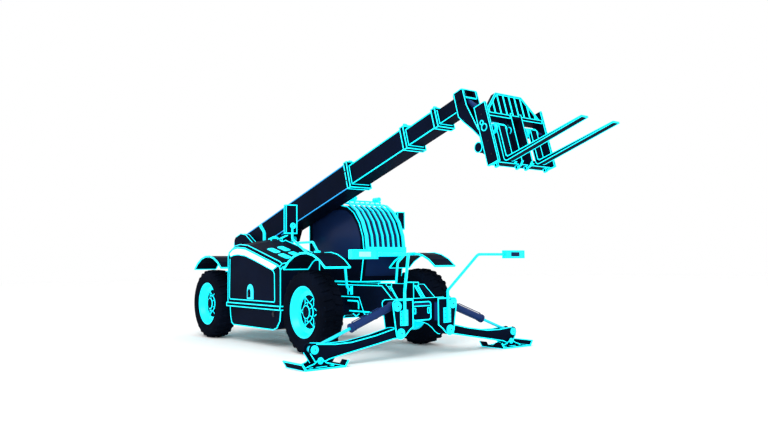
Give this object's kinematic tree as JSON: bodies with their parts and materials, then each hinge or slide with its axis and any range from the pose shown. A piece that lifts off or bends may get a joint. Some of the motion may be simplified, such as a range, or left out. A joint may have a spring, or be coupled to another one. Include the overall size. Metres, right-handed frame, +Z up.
{
  "type": "telehandler",
  "caption": "Telescopic handler with a four-section boom, barred fork carriage, offset cab, side engine pod, all-wheel steering and two front stabilisers.",
  "frame": {"origin": "on the ground under the middle of the machine's box", "axes": "+X to the front, along the forks, +Y to the left, where the cab is, +Z up"},
  "size_m": [9.189, 4.426, 3.8193],
  "materials": {
    "panel_paint": "satin near-black navy paint with bright cyan edges",
    "structure_paint": "satin dark navy paint on welded steel",
    "cyan_paint": "bright cyan gloss paint",
    "cylinder_blue": "royal blue gloss paint",
    "cylinder_rod": "cyan-tinted plated rod",
    "tyre_rubber": "matt black rubber",
    "tinted_glass": "dark blue tinted glass",
    "seat_cloth": "dark woven cloth"
  },
  "bodies": {
    "machine": {"main_frame": "structure_paint", "counterweight": "panel_paint", "tow_hitch": "structure_paint", "stabiliser_frame": "structure_paint", "front_axle": "structure_paint", "rear_axle": "structure_paint", "engine_bay": "structure_paint", "engine_block": "structure_paint", "fuel_tank": "panel_paint", "exhaust_stack": "cyan_paint", "hydraulic_tank": "panel_paint", "cab_shell": "panel_paint", "windscreen": "tinted_glass", "right_window": "tinted_glass", "rear_window": "tinted_glass", "seat": "seat_cloth", "steering_column": "structure_paint", "windscreen_guard": "cyan_paint", "left_mirror": "panel_paint", "right_mirror": "panel_paint", "front_left_mudguard": "panel_paint", "front_right_mudguard": "panel_paint", "rear_left_mudguard": "panel_paint", "rear_right_mudguard": "panel_paint", "left_lamp_stalk": "cyan_paint", "right_lamp_stalk": "cyan_paint"},
    "front_left_knuckle": {"front_left_knuckle": "structure_paint"},
    "front_left_wheel": {"front_left_tyre": "tyre_rubber", "front_left_rim": "cyan_paint"},
    "front_right_knuckle": {"front_right_knuckle": "structure_paint"},
    "front_right_wheel": {"front_right_tyre": "tyre_rubber", "front_right_rim": "cyan_paint"},
    "rear_left_knuckle": {"rear_left_knuckle": "structure_paint"},
    "rear_left_wheel": {"rear_left_tyre": "tyre_rubber", "rear_left_rim": "cyan_paint"},
    "rear_right_knuckle": {"rear_right_knuckle": "structure_paint"},
    "rear_right_wheel": {"rear_right_tyre": "tyre_rubber", "rear_right_rim": "cyan_paint"},
    "engine_cover": {"engine_cover": "panel_paint"},
    "cab_door": {"cab_door": "panel_paint", "door_window": "tinted_glass"},
    "boom": {"boom_outer_section": "panel_paint"},
    "boom_section_2": {"boom_second_section": "panel_paint"},
    "boom_section_3": {"boom_third_section": "panel_paint"},
    "boom_head": {"boom_head": "panel_paint"},
    "carriage": {"carriage": "panel_paint", "fork_left": "panel_paint", "fork_right": "panel_paint"},
    "lift_barrel": {"lift_cylinder_barrel": "cylinder_blue"},
    "lift_rod": {"lift_cylinder_rod": "cylinder_rod"},
    "tilt_barrel": {"tilt_cylinder_barrel": "cylinder_blue"},
    "tilt_rod": {"tilt_cylinder_rod": "cylinder_rod"},
    "left_leg": {"left_stabiliser_leg": "structure_paint"},
    "left_foot": {"left_stabiliser_foot": "structure_paint"},
    "left_stabiliser_barrel": {"left_stabiliser_barrel": "cylinder_blue"},
    "left_stabiliser_rod": {"left_stabiliser_rod": "cylinder_rod"},
    "right_leg": {"right_stabiliser_leg": "structure_paint"},
    "right_foot": {"right_stabiliser_foot": "structure_paint"},
    "right_stabiliser_barrel": {"right_stabiliser_barrel": "cylinder_blue"},
    "right_stabiliser_rod": {"right_stabiliser_rod": "cylinder_rod"}
  },
  "joints": [
    {"name": "front_left_steering", "type": "hinge", "parent": "machine", "child": "front_left_knuckle", "pos_m": [-0.00424, 0.98, 0.65], "axis": [0, 0, 1], "range_deg": [-28, 28]},
    {"name": "front_left_wheel_spin", "type": "hinge", "parent": "front_left_knuckle", "child": "front_left_wheel", "pos_m": [-0.00424, 1.1, 0.65], "axis": [0, 1, 0], "continuous": true},
    {"name": "front_right_steering", "type": "hinge", "parent": "machine", "child": "front_right_knuckle", "pos_m": [-0.00424, -0.98, 0.65], "axis": [0, 0, 1], "range_deg": [-28, 28]},
    {"name": "front_right_wheel_spin", "type": "hinge", "parent": "front_right_knuckle", "child": "front_right_wheel", "pos_m": [-0.00424, -1.1, 0.65], "axis": [0, 1, 0], "continuous": true},
    {"name": "rear_left_steering", "type": "hinge", "parent": "machine", "child": "rear_left_knuckle", "pos_m": [-3.58424, 0.98, 0.65], "axis": [0, 0, 1], "range_deg": [-28, 28]},
    {"name": "rear_left_wheel_spin", "type": "hinge", "parent": "rear_left_knuckle", "child": "rear_left_wheel", "pos_m": [-3.58424, 1.1, 0.65], "axis": [0, 1, 0], "continuous": true},
    {"name": "rear_right_steering", "type": "hinge", "parent": "machine", "child": "rear_right_knuckle", "pos_m": [-3.58424, -0.98, 0.65], "axis": [0, 0, 1], "range_deg": [-28, 28]},
    {"name": "rear_right_wheel_spin", "type": "hinge", "parent": "rear_right_knuckle", "child": "rear_right_wheel", "pos_m": [-3.58424, -1.1, 0.65], "axis": [0, 1, 0], "continuous": true},
    {"name": "engine_cover_hinge", "type": "hinge", "parent": "machine", "child": "engine_cover", "pos_m": [-0.00424, -0.405, 1.9], "axis": [-1, 0, 0], "range_deg": [0, 50]},
    {"name": "cab_door_hinge", "type": "hinge", "parent": "machine", "child": "cab_door", "pos_m": [-2.19624, 1.218, 0], "axis": [0, 0, 1], "range_deg": [0, 85]},
    {"name": "boom_lift", "type": "hinge", "parent": "machine", "child": "boom", "pos_m": [-3.95424, 0, 1.827], "axis": [0, -1, 0], "range_deg": [-20, 54]},
    {"name": "boom_extend", "type": "slide", "parent": "boom", "child": "boom_section_2", "axis": [0.9611, 0, 0.2761], "range_m": [-0.3, 1.75]},
    {"name": "boom_extend_third", "type": "slide", "parent": "boom_section_2", "child": "boom_section_3", "axis": [0.9611, 0, 0.2761], "range_m": [-0.3, 1.75]},
    {"name": "boom_extend_head", "type": "slide", "parent": "boom_section_3", "child": "boom_head", "axis": [0.9611, 0, 0.2761], "range_m": [-0.3, 1.75]},
    {"name": "carriage_tilt", "type": "hinge", "parent": "boom_head", "child": "carriage", "pos_m": [2.89296, 0, 2.9099], "axis": [0, 1, 0], "range_deg": [-15, 75]},
    {"name": "lift_cylinder_swing", "type": "hinge", "parent": "machine", "child": "lift_barrel", "pos_m": [-3.80424, 0, 1.05], "axis": [0, -1, 0], "range_deg": [-15.42, 41.62]},
    {"name": "lift_cylinder_stroke", "type": "slide", "parent": "lift_barrel", "child": "lift_rod", "axis": [0.8503, 0, 0.5264], "range_m": [-0.22949, 0.61962]},
    {"name": "tilt_cylinder_swing", "type": "hinge", "parent": "boom_head", "child": "tilt_barrel", "pos_m": [2.36971, 0, 3.68817], "axis": [0, 1, 0], "range_deg": [-1.12, 5.62]},
    {"name": "tilt_cylinder_stroke", "type": "slide", "parent": "tilt_barrel", "child": "tilt_rod", "axis": [0.7968, 0, -0.6043], "range_m": [-0.0741, 0.37051]},
    {"name": "left_stabiliser_swing", "type": "hinge", "parent": "machine", "child": "left_leg", "pos_m": [1.29576, 0.482, 0.372], "axis": [1, 0, 0], "range_deg": [0, 75]},
    {"name": "left_foot_tilt", "type": "hinge", "parent": "left_leg", "child": "left_foot", "pos_m": [1.29576, 1.848, 0.1], "axis": [1, 0, 0], "range_deg": [-12, 12]},
    {"name": "left_stabiliser_cylinder_swing", "type": "hinge", "parent": "machine", "child": "left_stabiliser_barrel", "pos_m": [1.29576, 0.5425, 0.765], "axis": [1, 0, 0], "range_deg": [0, 84.75]},
    {"name": "left_stabiliser_cylinder_stroke", "type": "slide", "parent": "left_stabiliser_barrel", "child": "left_stabiliser_rod", "axis": [0, 0.9366, -0.3505], "range_m": [-0.45155, 0]},
    {"name": "right_stabiliser_swing", "type": "hinge", "parent": "machine", "child": "right_leg", "pos_m": [1.29576, -0.482, 0.372], "axis": [-1, 0, 0], "range_deg": [0, 75]},
    {"name": "right_foot_tilt", "type": "hinge", "parent": "right_leg", "child": "right_foot", "pos_m": [1.29576, -1.848, 0.1], "axis": [-1, 0, 0], "range_deg": [-12, 12]},
    {"name": "right_stabiliser_cylinder_swing", "type": "hinge", "parent": "machine", "child": "right_stabiliser_barrel", "pos_m": [1.29576, -0.5425, 0.765], "axis": [-1, 0, 0], "range_deg": [0, 84.75]},
    {"name": "right_stabiliser_cylinder_stroke", "type": "slide", "parent": "right_stabiliser_barrel", "child": "right_stabiliser_rod", "axis": [0, -0.9366, -0.3505], "range_m": [-0.45155, 0]}
  ],
  "couplings": [
    {"joint": "front_right_steering", "follows": "front_left_steering", "ratio": 1},
    {"joint": "rear_right_steering", "follows": "rear_left_steering", "ratio": 1},
    {"joint": "boom_extend_third", "follows": "boom_extend", "ratio": 1},
    {"joint": "boom_extend_head", "follows": "boom_extend", "ratio": 1},
    {"joint": "lift_cylinder_swing", "follows": "boom_lift", "ratio": 0.75569},
    {"joint": "lift_cylinder_stroke", "follows": "boom_lift", "m_per_rad": 0.64455},
    {"joint": "tilt_cylinder_swing", "follows": "carriage_tilt", "ratio": 0.073464},
    {"joint": "tilt_cylinder_stroke", "follows": "carriage_tilt", "m_per_rad": 0.2775},
    {"joint": "left_stabiliser_cylinder_swing", "follows": "left_stabiliser_swing", "ratio": 1.1078},
    {"joint": "left_stabiliser_cylinder_stroke", "follows": "left_stabiliser_swing", "m_per_rad": -0.3382},
    {"joint": "right_stabiliser_cylinder_swing", "follows": "right_stabiliser_swing", "ratio": 1.1078},
    {"joint": "right_stabiliser_cylinder_stroke", "follows": "right_stabiliser_swing", "m_per_rad": -0.3382}
  ]
}
